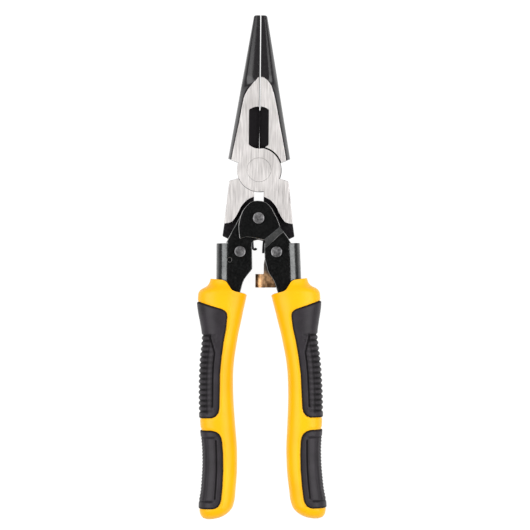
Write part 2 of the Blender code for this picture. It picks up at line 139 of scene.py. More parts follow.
def loftOf(rings):
    # The end face is extruded from ring to ring, and its corners are set to each new ring.
    bm = bmesh.new()
    face = bm.faces.new([bm.verts.new(point) for point in rings[0]])
    for ring in rings[1:]:
        face = bmesh.ops.extrude_discrete_faces(bm, faces=[face])["faces"][0]
        for vert, point in zip(face.verts, ring):
            vert.co = point
    rim = [edge for edge in bm.edges if edge.is_boundary]
    bmesh.ops.holes_fill(bm, edges=rim, sides=0)
    bmesh.ops.recalc_face_normals(bm, faces=bm.faces)
    return bm


def plateOf(outline, low, high, rounding=0.0, segments=3):
    bm = bmesh.new()
    face = bm.faces.new([bm.verts.new((x, y, low)) for x, y in outline])
    lifted = bmesh.ops.extrude_face_region(bm, geom=[face])["geom"]
    bmesh.ops.translate(bm, vec=(0, 0, high - low),
                        verts=[item for item in lifted if isinstance(item, bmesh.types.BMVert)])
    bmesh.ops.recalc_face_normals(bm, faces=bm.faces)
    if rounding:
        rims = [edge for edge in bm.edges if abs(edge.verts[0].co.z - edge.verts[1].co.z) < 1e-6]
        bmesh.ops.bevel(bm, geom=rims, offset=rounding, offset_type="OFFSET", segments=segments,
                        profile=0.5, affect="EDGES", material=-1, clamp_overlap=True)
    return bm


def turnedOf(centre, profile, steps=64):
    # A profile of radius and height, spun a full turn; its ends are on the axis.
    bm = bmesh.new()
    verts = [bm.verts.new((centre[0] + radius, centre[1], height)) for radius, height in profile]
    edges = [bm.edges.new(pair) for pair in zip(verts, verts[1:])]
    bmesh.ops.spin(bm, geom=verts + edges, cent=(centre[0], centre[1], 0), axis=(0, 0, 1),
                   angle=2 * math.pi, steps=steps, use_merge=True)
    bmesh.ops.remove_doubles(bm, verts=bm.verts, dist=1e-4)
    poles = [vert for vert in bm.verts
             if math.hypot(vert.co.x - centre[0], vert.co.y - centre[1]) < 1e-4]
    bmesh.ops.dissolve_verts(bm, verts=poles)
    bmesh.ops.recalc_face_normals(bm, faces=bm.faces)
    return bm


def boreOf(centre, radius, steps=32, low=-12.0, high=12.0):
    # A plain cylinder; left at its full length, it cuts right through the tool.
    return turnedOf(centre, [(0, low), (radius, low), (radius, high), (0, high)], steps)


def looseObject(name, bm):
    mesh = bpy.data.meshes.new(name)
    bm.to_mesh(mesh)
    bm.free()
    thing = bpy.data.objects.new(name, mesh)
    bpy.context.scene.collection.objects.link(thing)
    return thing


def finishedMesh(thing):
    depsgraph = bpy.context.evaluated_depsgraph_get()
    return bpy.data.meshes.new_from_object(thing.evaluated_get(depsgraph), depsgraph=depsgraph)


def combined(bm, *steps):
    # Each step is an operation and another solid; the helpers are removed afterwards.
    target = looseObject("target", bm)
    tools = []
    for operation, other in steps:
        tool = looseObject("tool", other)
        tools.append(tool)
        modifier = target.modifiers.new("combine", "BOOLEAN")
        modifier.operation = operation
        modifier.object = tool
    result = bmesh.new()
    result.from_mesh(finishedMesh(target))
    for thing in [target, *tools]:
        bpy.data.objects.remove(thing, do_unlink=True)
    bmesh.ops.remove_doubles(result, verts=result.verts, dist=1e-4)
    return result


def settle(name, bm, material, body, node, turn=rightSide, crease=35):
    # Puts a finished shape in its place, from plan millimetres to metres.
    bmesh.ops.transform(bm, matrix=turn, verts=bm.verts)
    bmesh.ops.scale(bm, vec=(mm, mm, mm), verts=bm.verts)
    bmesh.ops.translate(bm, vec=pivot, verts=bm.verts)
    mesh = bpy.data.meshes.new(name)
    bm.to_mesh(mesh)
    bm.free()
    mesh.materials.append(material)
    mesh.shade_smooth()
    mesh.set_sharp_from_angle(angle=math.radians(crease))
    thing = bpy.data.objects.new(name, mesh)
    bpy.context.scene.collection.objects.link(thing)
    weighted = thing.modifiers.new("flatFaces", "WEIGHTED_NORMAL")
    weighted.keep_sharp = True
    weighted.weight = 100
    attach(thing, body)
    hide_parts(node)
    return thing


# Helpers for materials.

def startMaterial(name, values):
    material = bpy.data.materials.new(name)
    material.use_nodes = True
    shader = material.node_tree.nodes["Principled BSDF"]
    for socket, value in values.items():
        shader.inputs[socket].default_value = value
    return material, material.node_tree, shader


def placeCoordinates(tree, stretch=(1, 1, 1)):
    coordinates = tree.nodes.new("ShaderNodeTexCoord")
    mapping = tree.nodes.new("ShaderNodeMapping")
    mapping.inputs["Scale"].default_value = stretch
    tree.links.new(coordinates.outputs["Object"], mapping.inputs["Vector"])
    return mapping.outputs["Vector"]


def noiseOf(tree, stretch, detail=3.0, roughness=0.55):
    noise = tree.nodes.new("ShaderNodeTexNoise")
    noise.inputs["Scale"].default_value = 1.0
    noise.inputs["Detail"].default_value = detail
    noise.inputs["Roughness"].default_value = roughness
    tree.links.new(placeCoordinates(tree, stretch), noise.inputs["Vector"])
    return noise.outputs["Fac"]


def rangeOf(tree, value, fromLow, fromHigh, toLow=0.0, toHigh=1.0):
    node = tree.nodes.new("ShaderNodeMapRange")
    for socket, number in (("From Min", fromLow), ("From Max", fromHigh),
                           ("To Min", toLow), ("To Max", toHigh)):
        node.inputs[socket].default_value = number
    tree.links.new(value, node.inputs["Value"])
    return node.outputs["Result"]


def mathOf(tree, operation, first, second=None):
    node = tree.nodes.new("ShaderNodeMath")
    node.operation = operation
    for socket, value in zip(node.inputs, (first, second)):
        if value is None:
            continue
        if isinstance(value, (int, float)):
            socket.default_value = value
        else:
            tree.links.new(value, socket)
    return node.outputs["Value"]


def sumOf(tree, first, second, share):
    # The first counts for its share, the second for the rest.
    return mathOf(tree, "ADD", mathOf(tree, "MULTIPLY", first, share),
                  mathOf(tree, "MULTIPLY", second, 1 - share))


def placeAxes(tree):
    # Object coordinates, and how far a point is from the middle of the thickness.
    coordinates = tree.nodes.new("ShaderNodeTexCoord")
    axes = tree.nodes.new("ShaderNodeSeparateXYZ")
    tree.links.new(coordinates.outputs["Object"], axes.inputs["Vector"])
    above = mathOf(tree, "SUBTRACT", axes.outputs["Z"], pivot.z)
    return axes.outputs, above, mathOf(tree, "ABSOLUTE", above)


def colourMix(tree, factor, first, second):
    node = tree.nodes.new("ShaderNodeMix")
    node.data_type = "RGBA"
    tree.links.new(factor, node.inputs["Factor"])
    for socket, value in ((node.inputs[6], first), (node.inputs[7], second)):
        if isinstance(value, tuple):
            socket.default_value = (*value, 1.0)
        else:
            tree.links.new(value, socket)
    return node.outputs[2]


def finishShader(tree, shader, colour, roughness, height, relief):
    # What every finish has: its colour, its roughness and a fine bump.
    bump = tree.nodes.new("ShaderNodeBump")
    bump.inputs["Distance"].default_value, bump.inputs["Strength"].default_value = relief
    tree.links.new(height, bump.inputs["Height"])
    tree.links.new(bump.outputs["Normal"], shader.inputs["Normal"])
    tree.links.new(colour, shader.inputs["Base Color"])
    tree.links.new(roughness, shader.inputs["Roughness"])


# Materials, each with its finish.

jawFinish = {
    "groundLight": (0.90, 0.865, 0.85),
    "groundDark": (0.58, 0.55, 0.535),
    "oxideLight": (0.016, 0.014, 0.016),
    "oxideDark": (0.006, 0.005, 0.006),
    "groundRoughness": 0.42,
    "oxideRoughness": 0.21,
    "brushAcross": 2600.0,      # brush lines per metre
    "brushAlong": 110.0,
    "patches": (170, 60, 170),
    "speckle": (900, 900, 900),
    "flatBand": (0.07, 0.02),   # under the flats' plane, in millimetres: all oxide, all ground
    "relief": (0.00003, 0.7),   # the bump's height in metres, and its strength
}


def jawMaterial():
    # Ground bright where a face lies in the plane of the flats, black oxide everywhere else.
    material, tree, shader = startMaterial("jawSteel", {"IOR": 1.5, "Specular IOR Level": 0.46})
    f = jawFinish
    axes, above, height = placeAxes(tree)
    oxideTo, groundFrom = (jawHalf - drop for drop in f["flatBand"])
    ground = rangeOf(tree, height, oxideTo * mm, groundFrom * mm)
    brush = noiseOf(tree, (f["brushAcross"], f["brushAlong"], f["brushAcross"]), 4.0, 0.6)
    shade = rangeOf(tree, sumOf(tree, brush, noiseOf(tree, f["patches"]), 0.65), 0.34, 0.66)
    steel = colourMix(tree, shade, f["groundDark"], f["groundLight"])
    speckle = noiseOf(tree, f["speckle"], 4.0)
    oxide = colourMix(tree, speckle, f["oxideDark"], f["oxideLight"])
    colour = colourMix(tree, ground, oxide, steel)
    tree.links.new(ground, shader.inputs["Metallic"])
    brushed, matt = f["groundRoughness"], f["oxideRoughness"]
    mixed = tree.nodes.new("ShaderNodeMix")
    tree.links.new(ground, mixed.inputs[0])
    tree.links.new(rangeOf(tree, speckle, 0.3, 0.7, matt - 0.05, matt + 0.06), mixed.inputs[2])
    tree.links.new(rangeOf(tree, brush, 0.3, 0.7, brushed - 0.06, brushed + 0.08), mixed.inputs[3])
    height = mathOf(tree, "MULTIPLY", brush, mathOf(tree, "ADD", ground, 0.15))
    finishShader(tree, shader, colour, mixed.outputs[0], height, f["relief"])
    return material


# The step up of each arm's outer ear, its joggle, lies between these two lines.
joggleTop = ((9.5, -25.0), (2.7, -30.7))
joggleFoot = ((10.9, -26.8), (3.2, -34.0))

armFinish = {
    "light": (0.100, 0.102, 0.102),
    "dark": (0.052, 0.054, 0.054),
    "wearAndHighlight": (0.40, 0.39, 0.385),    # bare steel wear and a painted highlight along the edges of the sheet
    "roughness": 0.14,
    "grain": 1300.0,
    "relief": (0.00002, 0.35),
    # Where the edges get bare steel wear and a painted highlight: tilt of the face (0 upright, 1 flat)
    # and height from the middle.
    "wearAndHighlightTilt": ((0.20, 0.35), (0.86, 0.93)),
    "wearAndHighlightHeight": (4.58, 4.64),
    "rampHeight": (5.02, 5.08),
    "rampEdge": (-0.42, -0.36),
}


def wearAndHighlightMasks(tree, finish, clouds):
    # Where the sheet's faces turn down at their edges, a light colour is painted: partly bare steel
    # wear, partly a painted highlight.
    shape = tree.nodes.new("ShaderNodeNewGeometry")
    facing = tree.nodes.new("ShaderNodeSeparateXYZ")
    tree.links.new(shape.outputs["Normal"], facing.inputs["Vector"])
    tilt = mathOf(tree, "ABSOLUTE", facing.outputs["Z"])
    steep, flat = finish["wearAndHighlightTilt"]
    turned = mathOf(tree, "MULTIPLY", rangeOf(tree, tilt, *steep), rangeOf(tree, tilt, *flat, 1.0, 0.0))
    axes, above, height = placeAxes(tree)
    outside = rangeOf(tree, height, *(level * mm for level in finish["wearAndHighlightHeight"]))
    # The joggle keeps its black: across is X on the front and minus X on the back.
    across = mathOf(tree, "MULTIPLY", mathOf(tree, "SUBTRACT", axes["X"], pivot.x),
                    mathOf(tree, "SIGN", above))
    along = mathOf(tree, "SUBTRACT", axes["Y"], pivot.y)
    (endX, endY), (startX, startY) = joggleTop
    length = math.hypot(endX - startX, endY - startY)
    stepX, stepY = (endX - startX) / length, (endY - startY) / length
    over = mathOf(tree, "SUBTRACT",
                  mathOf(tree, "MULTIPLY", mathOf(tree, "SUBTRACT", across, startX * mm), stepY),
                  mathOf(tree, "MULTIPLY", mathOf(tree, "SUBTRACT", along, startY * mm), stepX))
    ramp = mathOf(tree, "MULTIPLY",
                  rangeOf(tree, height, *(level * mm for level in finish["rampHeight"])),
                  rangeOf(tree, over, *(edge * mm for edge in finish["rampEdge"])))
    outside = mathOf(tree, "MULTIPLY", outside, mathOf(tree, "SUBTRACT", 1.0, ramp))
    edgeWearAndHighlight = mathOf(tree, "MULTIPLY", mathOf(tree, "MULTIPLY", turned, outside),
                    rangeOf(tree, clouds, 0.30, 0.50, 0.55, 1.0))
    return edgeWearAndHighlight, ramp


def armMaterial(name, finish):
    material, tree, shader = startMaterial(name, {"Metallic": 0.93, "IOR": 1.5})
    speckle = noiseOf(tree, [finish["grain"]] * 3, 4.0, 0.65)
    clouds = noiseOf(tree, (260, 260, 260))
    shade = rangeOf(tree, sumOf(tree, speckle, clouds, 0.6), 0.38, 0.64)
    colour = colourMix(tree, shade, finish["dark"], finish["light"])
    low = finish["roughness"]
    roughness = rangeOf(tree, speckle, 0.3, 0.75, low - 0.03, low + 0.08)
    if "wearAndHighlight" in finish:
        edgeWearAndHighlight, ramp = wearAndHighlightMasks(tree, finish, clouds)
        # The edges' light colour: bare steel wear, and a painted highlight along the sheet's edges.
        colour = colourMix(tree, edgeWearAndHighlight, colour, finish["wearAndHighlight"])
        duller = mathOf(tree, "ADD", mathOf(tree, "MULTIPLY", edgeWearAndHighlight, 0.22),
                        mathOf(tree, "MULTIPLY", ramp, 0.26))
        roughness = mathOf(tree, "ADD", roughness, duller)
    finishShader(tree, shader, colour, roughness, speckle, finish["relief"])
    return material


rivetFinish = {
    "light": (0.30, 0.295, 0.30),
    "dark": (0.06, 0.058, 0.060),
    "roughness": 0.36,
    "grain": 900.0,
    "relief": (0.00002, 0.35),
}

wireFinish = {
    "light": (0.05, 0.05, 0.055),
    "dark": (0.02, 0.02, 0.022),
    "roughness": 0.22,
    "grain": 1500.0,
    "relief": (0.00002, 0.35),
}

latchFinish = {
    "copper": (0.56, 0.33, 0.17),
    "bronze": (0.13, 0.070, 0.032),
    "pinwardGrey": (0.105, 0.088, 0.078),   # greyer towards the pin
    "pinwardGreyY": (-46.0, -43.5),
    "roughness": 0.38,
    "relief": (0.00002, 0.5),
}


def latchMaterial():
    material, tree, shader = startMaterial("latchPlating", {"Metallic": 1.0})
    f = latchFinish
    rolled = noiseOf(tree, (1400, 160, 1400))
    stain = noiseOf(tree, (390, 390, 390), 2.0)
    shade = rangeOf(tree, sumOf(tree, rolled, stain, 0.35), 0.40, 0.60)
    axes, above, height = placeAxes(tree)
    # The colour turns a darker grey over a short run towards the pin.
    upward = rangeOf(tree, axes["Y"], *(pivot.y + y * mm for y in f["pinwardGreyY"]))
    colour = colourMix(tree, upward, colourMix(tree, shade, f["bronze"], f["copper"]), f["pinwardGrey"])
    roughness = rangeOf(tree, rolled, 0.3, 0.7, f["roughness"] - 0.05, f["roughness"] + 0.1)
    finishShader(tree, shader, colour, roughness, rolled, f["relief"])
    return material


gripFinish = {
    "yellow": (0.98, 0.510, 0.001),
    "deeper": (0.93, 0.450, 0.001),
    "roughness": 0.36,
    "relief": (0.00002, 0.25),
}


def gripMaterial():
    material, tree, shader = startMaterial("gripPlastic", {"IOR": 1.48, "Specular IOR Level": 0.22})
    clouds = noiseOf(tree, (45, 45, 45), 2.0)
    grain = noiseOf(tree, (2600, 2600, 2600), 2.0)
    f = gripFinish
    colour = colourMix(tree, rangeOf(tree, clouds, 0.35, 0.65), f["deeper"], f["yellow"])
    roughness = rangeOf(tree, grain, 0.3, 0.7, f["roughness"] - 0.03, f["roughness"] + 0.06)
    finishShader(tree, shader, colour, roughness, grain, f["relief"])
    return material


padFinish = {
    "light": (0.030, 0.025, 0.031),
    "dark": (0.018, 0.015, 0.018),
    # painted shade, nearly black, for the pads' dips and sunk rim
    "creaseShade": (0.004, 0.003, 0.004),
    "roughness": 0.42,
    "relief": (0.00003, 0.4),
}


def padMaterial():
    material, tree, shader = startMaterial("padRubber", {"IOR": 1.5, "Specular IOR Level": 0.24})
    f = padFinish
    grain = noiseOf(tree, (3200, 3200, 3200), 3.0, 0.6)
    clouds = noiseOf(tree, (180, 180, 180), 2.0)
    shade = rangeOf(tree, sumOf(tree, grain, clouds, 0.5), 0.38, 0.62)
    # The crease attribute paints shade into the dips of the relief and along each pad's sunk rim.
    crease = tree.nodes.new("ShaderNodeAttribute")
    crease.attribute_name = "crease"
    creaseShadeMask = crease.outputs["Fac"]
    colour = colourMix(tree, creaseShadeMask, colourMix(tree, shade, f["dark"], f["light"]), f["creaseShade"])
    roughness = rangeOf(tree, grain, 0.3, 0.7, f["roughness"] - 0.04, f["roughness"] + 0.08)
    roughness = mathOf(tree, "ADD", roughness, mathOf(tree, "MULTIPLY", creaseShadeMask, 0.35))
    finishShader(tree, shader, colour, roughness, grain, f["relief"])
    return material


jawSteel = jawMaterial()
armSteel = armMaterial("armOxide", armFinish)
rivetSteel = armMaterial("rivetSteel", rivetFinish)
springSteel = armMaterial("springWire", wireFinish)
latchPlating = latchMaterial()
gripPlastic = gripMaterial()
padRubber = padMaterial()
print("materials made")


# The jaws and their rivet.

jaw = {
    "baseY": 4.9,
    "baseSlope": 0.4,           # the nose's foot runs down and outwards
    "joinX": 0.5,               # below joinY the nose runs into its own lap disc
    "joinY": 9.0,
    "baseHalfWidth": 13.55,
    "tipHalfWidth": 2.85,
    "tipHalfThickness": 1.7,
    "endLength": 0.45,          # the tip is rounded over this length
    "endRounding": 0.35,
    "flatEndY": 40.0,           # the ground flat runs out here
    "bladeGap": (0.0005, 0.085),    # half the gap between the cutting edges, top and bottom
    "bladeY": (9.0, 18.0),
    "throatY": (25.9, 26.5),    # here the cutting edges step back to the gap of the flats
    "crownY": (34.0, 41.0),
    "toothPitch": 1.2,
    "toothDepth": 0.35,
    "teethFrom": 31.0,
    "stations": [13.0, 17.0, 21.0, 24.0, 25.8, 26.0, 26.2, 26.4, 26.6, 29.0],
    "lapRadius": 9.6,
    "lapFloor": 0.05,           # the two discs meet at the middle of the thickness
    "lapRecess": 9.93,
    "recessShift": (-0.17, 0.17),
    "rearDiscShift": (-0.25, 0.0),
    "rivetRadius": 5.2,
    "rivetPlay": 0.05,
    "linkBore": 2.1,
    "edge": 0.12,
    "tailInner": 2.1,
    "bladeHalf": 1.75,
    "lobeRadius": 4.6,
    "reliefRadius": 5.2,
    "cutterHalfWidth": (4.65, 4.05),
    "cutterY": (9.2, 11.0, 26.2, 27.6),
}

# The two noses differ a little. Flats: y, half width of the ground flat. Crown: how the black tip
# falls away from the gap to its outer edge, in shares of its half width and half thickness.
noses = {
    "front": {
        "inner": 0.11,
        "chamfer": 0.26,
        "flats": [(40.3, 0.4), (39.9, 0.95), (39.2, 1.5), (38.2, 2.5), (37.0, 3.4), (35.2, 4.8),
                  (32.7, 6.25), (30.7, 6.9), (27.5, 7.5), (21.0, 8.6), (13.0, 10.3), (4.9, 12.0)],
        "crown": [(0.16, 0.016), (0.32, 0.022), (0.46, 0.04), (0.60, 0.09), (0.74, 0.17), (0.85, 0.29),
                  (0.95, 0.54), (1.0, 1.0)],
    },
    "rear": {
        "inner": 0.30,
        "chamfer": 0.08,
        "flats": [(40.8, 0.45), (40.3, 1.5), (39.2, 3.2), (37.2, 4.6), (32.7, 6.05), (30.7, 6.5),
                  (27.5, 7.2), (21.0, 8.4), (13.0, 10.0), (4.9, 11.6)],
        "crown": [(0.26, 0.016), (0.50, 0.020), (0.56, 0.032), (0.66, 0.075), (0.78, 0.20), (0.86, 0.36),
                  (0.94, 0.68), (1.0, 1.0)],
    },
}
# Beside the ground flat: a short steep chamfer, then the side wall.
shoulder = [(0.08, 0.012), (0.30, 0.085), (0.44, 0.2), (0.60, 0.35), (0.75, 0.5), (0.88, 0.68),
            (0.97, 0.85), (1.0, 1.0)]


def noseRing(y, nose):
    share = (y - jaw["baseY"]) / (tipY - jaw["baseY"])
    halfWidth = jaw["baseHalfWidth"] + (jaw["tipHalfWidth"] - jaw["baseHalfWidth"]) * share
    past = max(0.0, y - jaw["flatEndY"]) / (tipY - jaw["flatEndY"])
    half = jawHalf + (jaw["tipHalfThickness"] - jawHalf) * past
    flat = valueAt(nose["flats"], y)[0]
    endLength = jaw["endLength"]
    if y > tipY - endLength:
        rounding = jaw["endRounding"] * (y - tipY + endLength) / endLength
        halfWidth -= rounding
        half -= rounding
    narrow, wide = jaw["bladeGap"]
    blade = narrow + (wide - narrow) * (1 - easeBetween(*jaw["bladeY"], y))
    inner = -nose["inner"] + (nose["inner"] - blade) * (1 - easeBetween(*jaw["throatY"], y))
    if y <= jaw["joinY"]:
        inner = jaw["joinX"]
    chamfer = min(nose["chamfer"] * easeBetween(26.0, 27.0, y) + 0.01, (flat + inner) * 0.6)
    phase = (y - jaw["teethFrom"]) / jaw["toothPitch"] % 1
    toothed = jaw["teethFrom"] < y < tipY - 0.5
    depth = jaw["toothDepth"] * (1 - abs(2 * phase - 1)) if toothed else 0.0
    inset = min(0.5, half * 0.25)
    crowned = easeBetween(*jaw["crownY"], y)
    upper = [(inner - depth, half - inset), (inner, half - chamfer - 0.01),
             (inner - chamfer, half), (-flat, half)]
    for (wallX, wallDrop), (crownX, crownDrop) in zip(shoulder, nose["crown"]):
        x = flat + (halfWidth - flat) * wallX
        x += (max(halfWidth * crownX, flat + 0.1 * crownX) - x) * crowned
        upper.append((-x, half * (1 - wallDrop - (crownDrop - wallDrop) * crowned)))
    ring = upper + [(x, -z) for x, z in reversed(upper[:-1])]
    slope = jaw["baseSlope"] if y <= jaw["baseY"] else 0.0
    return [(x, y - slope * (jaw["baseHalfWidth"] + x), z) for x, z in ring]


def noseSolid(nose):
    stations = [jaw["baseY"], jaw["joinY"], jaw["joinY"] + 0.05, *jaw["stations"]]
    y = jaw["teethFrom"]
    while y < tipY - 1.0:
        stations.append(y)
        y += jaw["toothPitch"] / 2
    stations += [tipY - jaw["endLength"], tipY - 0.2, tipY]
    return loftOf([noseRing(y, nose) for y in stations])


def tailOutlines():
    inner = jaw["tailInner"]
    stepEdge = curveThrough([(inner, -11.7), (4.9, -13.1), (6.7, -14.9), (7.9, -16.6), (8.9, -18.7),
                             (10.0, -20.7), (11.4, -22.5), (12.8, -23.2), (15.02, -23.6)], 3)
    thick = [(inner, -8.0), *stepEdge, (13.05, -5.9), (12.9, -5.2), (12.4, -4.75), (8.8, -3.7),
             (4.0, -3.0)]
    reliefStart = math.degrees(math.acos(inner / jaw["reliefRadius"]))
    blade = [(inner, -9.0), *arcPoints(centrePin, jaw["reliefRadius"], reliefStart, -25, 16),
             (4.8, -31.6), *arcPoints(linkPin, jaw["lobeRadius"], 130, 360, 28), (12.7, -30.4),
             (15.5, -29.1), (15.7, -28.7), (15.0, -23.6), (13.6, -12.0), (8.0, -6.0)]
    return thick, blade


def cutterPocket(side, halfWidth):
    # Half of the dark window, ground down to the cutting edge; side is 1 in front, -1 behind.
    lowTip, low, high, highTip = jaw["cutterY"]
    slope = (halfWidth - 0.1) / jawHalf
    rings = []
    for height in (jawHalf + 1.0, 0.35):
        half = 0.1 + slope * height
        corners = [(0, lowTip), (0.3, lowTip + 0.1), (0.55, lowTip + 0.4), (0.8, low - 0.75),
                   (0.94, low - 0.3), (1, low + 0.2), (1, high - 0.3), (0.95, high + 0.15),
                   (0.8, high + 0.5), (0.5, highTip - 0.3), (0.25, highTip - 0.06), (0, highTip)]
        corners += [(-x, y) for x, y in reversed(corners[1:-1])]
        rings.append([(x * half, y, side * height) for x, y in corners])
    return loftOf(rings)


def jawHalfPiece(name, body, node, turn):
    rear = turn is leftSide
    pocketWidth = jaw["cutterHalfWidth"][1 if rear else 0]
    thick, blade = tailOutlines()
    lap, floor, edge, top = jaw["lapRadius"], jaw["lapFloor"], jaw["edge"], jawHalf + 0.01
    disc = [(0, floor), (lap, floor), (lap, jawHalf - edge), (lap - edge, top), (0, top)]
    bm = combined(
        noseSolid(noses["rear" if rear else "front"]),
        ("UNION", plateOf(thick, -jawHalf, jawHalf, 0.18, 2)),
        ("UNION", plateOf(blade, -jaw["bladeHalf"], jaw["bladeHalf"], 0.3)),
        ("DIFFERENCE", boreOf(jaw["recessShift"], jaw["lapRecess"], 96, high=floor)),
        ("UNION", turnedOf(jaw["rearDiscShift"] if rear else (0, 0), disc, 96)),
        ("DIFFERENCE", boreOf((0, 0), jaw["rivetRadius"] + jaw["rivetPlay"], 72)),
        ("DIFFERENCE", boreOf(linkPin, jaw["linkBore"])),
        ("DIFFERENCE", cutterPocket(1, pocketWidth)),
        ("DIFFERENCE", cutterPocket(-1, pocketWidth)),
    )
    return settle(name, bm, jawSteel, body, node, turn, 28)


def jawRivetPiece():
    top, radius = jawHalf, jaw["rivetRadius"]
    edge = 0.06
    bm = turnedOf((0, 0), [(0, -top), (radius - edge, -top), (radius, edge - top),
                           (radius, top - edge), (radius - edge, top), (0, top)], 96)
    return settle("jawRivet", bm, jawSteel, "right_jaw", "jaw_rivet")


jawHalfPiece("frontLapJaw", "left_jaw", "front_lap_jaw", rightSide)
jawHalfPiece("rearLapJaw", "right_jaw", "rear_lap_jaw", leftSide)
jawRivetPiece()
print("jaws made")


# The channel arms.

arm = {
    "half": 5.0,
    "sheet": 1.7,
    "lift": 2.0,                # how far the joggle raises the outer ear
    "bendWidth": 5.4,
    "rounding": 0.34,
    "cheekEdge": 0.3,
    "bore": 2.1,
    "wideBore": 2.47,           # the right arm turns on the centre pin, so its bore there is wider
    "latchRoom": {-42.6: 3.75, -43.6: 3.9, -45.2: 4.6},     # its cheeks are cut back for the latch
    "joggleSteps": 8,
    "rightLean": math.radians(1.35),    # the handles lean a little to the right
    "leftLean": math.radians(1.7),
    "dimple": (12.5, -39.3),
    "dimpleRadius": 0.85,
    "dimpleDepth": 1.2,
    "dimpleEdge": (0.3, 0.35),  # how far its mouth flares, and over what depth
}

# Channel: y, inner edge of the cheeks, outer face of the web, half thickness.
channelRows = [(-31.9, 2.75, 18.2, 5.0), (-38.2, 2.75, 18.35, 5.0), (-42.6, 2.78, 18.5, 5.0),
               (-43.6, 3.0, 18.5, 5.0), (-45.2, 4.3, 18.55, 5.0), (-47.6, 6.2, 18.6, 5.0),
               (-49.8, 7.2, 18.7, 5.0), (-52.0, 7.8, 18.8, 5.0), (-57.0, 9.4, 19.3, 4.9),
               (-63.0, 11.2, 20.0, 4.8), (-72.0, 12.8, 20.8, 4.7)]


# How the web turns down: way out and drop, in shares of the bend's width and half thickness.
bendRows = [(0.0, 0.0), (0.148, 0.012), (0.25, 0.035), (0.36, 0.074), (0.47, 0.127), (0.574, 0.192),
            (0.657, 0.256), (0.741, 0.331), (0.824, 0.421), (0.88, 0.534), (0.935, 0.69),
            (0.972, 0.85), (1.0, 1.0)]


def leaned(point, amount):
    # Turned about the link pin.
    x, y, z = point
    dx, dy = x - linkPin[0], y - linkPin[1]
    return (linkPin[0] + dx * math.cos(amount) - dy * math.sin(amount),
            linkPin[1] + dx * math.sin(amount) + dy * math.cos(amount), z)


def channelRing(y, inner, outer, half):
    bend, sheet, edge = arm["bendWidth"], arm["sheet"], arm["cheekEdge"]
    start = outer - bend
    ring = [(inner, half - edge), (inner + 0.09, half - 0.09), (inner + edge, half)]
    turned = [(start + bend * out, half * (1 - drop)) for out, drop in bendRows]
    ring += turned + [(x, -z) for x, z in reversed(turned[:-1])]
    ring += [(inner + edge, -half), (inner + 0.09, 0.09 - half), (inner, edge - half),
             (inner, sheet - half)]
    hollow = arcPoints((0, 0), 1.0, -90, 90, 16)
    ring += [(start + (bend - sheet) * out, (half - sheet) * up) for out, up in hollow]
    ring.append((inner, half - sheet))
    return [(x, y, z) for x, z in ring]


def plainEarOutline():
    rounded = curveThrough([(12.8, -29.2), (9.1, -22.2), (6.6, -17.6), (4.4, -15.2), (1.8, -14.1),
                            (-1.2, -14.1), (-4.2, -15.4), (-6.4, -17.8), (-7.6, -21.2), (-7.0, -25.2),
                            (-4.9, -28.4), (-2.4, -30.1), (0.0, -30.5), (1.9, -30.9)], 4)
    return [(13.3, -36.0), (13.3, -32.0), (14.0, -31.75), *rounded, (2.7, -31.9), (2.9, -36.0)]


def joggledEarOutline():
    rounded = curveThrough([(9.5, -25.0), (8.6, -22.3), (6.2, -17.6), (4.1, -14.9), (2.0, -13.8),
                            (-0.3, -13.5), (-2.3, -13.7), (-3.9, -14.4), (-6.4, -17.1), (-7.7, -19.6),
                            (-8.4, -22.4), (-8.7, -24.8), (-8.3, -29.6)], 4)
    return [*rounded, (-8.0, -30.2), (-5.4, -29.3), (-2.1, -29.6), (2.7, -30.7), (3.2, -34.0),
            (2.9, -36.0), (13.3, -36.0), (13.3, -32.0), (14.2, -31.7), (12.8, -29.2), (10.9, -26.8)]


def lineDistance(x, y, line):
    # Signed distance from a straight line, positive on its lower right.
    (ax, ay), (bx, by) = line
    dx, dy = ax - bx, ay - by
    return ((x - bx) * dy - (y - by) * dx) / math.hypot(dx, dy)


def joggledEar():
    half, sheet = arm["half"], arm["sheet"]
    bm = plateOf(joggledEarOutline(), half - sheet, half, arm["rounding"])
    for step in range(arm["joggleSteps"] + 1):
        share = step / arm["joggleSteps"]
        (ax, ay), (bx, by) = (tuple(p + (q - p) * share for p, q in zip(top, foot))
                              for top, foot in zip(joggleTop, joggleFoot))
        bmesh.ops.bisect_plane(bm, geom=[*bm.verts, *bm.edges, *bm.faces], dist=1e-5,
                               plane_co=(ax, ay, 0), plane_no=(by - ay, ax - bx, 0))
    for vert in bm.verts:
        over = lineDistance(vert.co.x, vert.co.y, joggleTop)
        under = -lineDistance(vert.co.x, vert.co.y, joggleFoot)
        share = 0.0 if over <= 0 else (1.0 if under <= 0 else over / (over + under))
        vert.co.z += arm["lift"] * (1 - share)
    return bm


def armPiece(name, body, node, turn, lean):
    half, sheet = arm["half"], arm["sheet"]
    rows, centreBore = channelRows, arm["bore"]
    if turn is rightSide:
        room, centreBore = arm["latchRoom"], arm["wideBore"]
        rows = [(y, room.get(y, inner), outer, thick) for y, inner, outer, thick in rows]
    rings = [channelRing(*row) for row in curveThrough(rows, 2)]
    steps = [
        ("UNION", plateOf(plainEarOutline(), -half, sheet - half, arm["rounding"])),
        ("UNION", joggledEar()),
        ("DIFFERENCE", boreOf(centrePin, centreBore)),
        ("DIFFERENCE", boreOf(linkPin, arm["bore"])),
    ]
    if turn is leftSide:
        radius, bottom = arm["dimpleRadius"], arm["dimpleDepth"] - half
        flare, flareDepth = arm["dimpleEdge"]
        dimple = [(0, -6), (radius + flare, -6), (radius + flare, -half), (radius, flareDepth - half),
                  (radius, bottom), (0, bottom)]
        steps.append(("DIFFERENCE", turnedOf(arm["dimple"], dimple, 32)))
    bm = combined(loftOf([[leaned(point, lean) for point in ring] for ring in rings]), *steps)
    return settle(name, bm, armSteel, body, node, turn, 30)


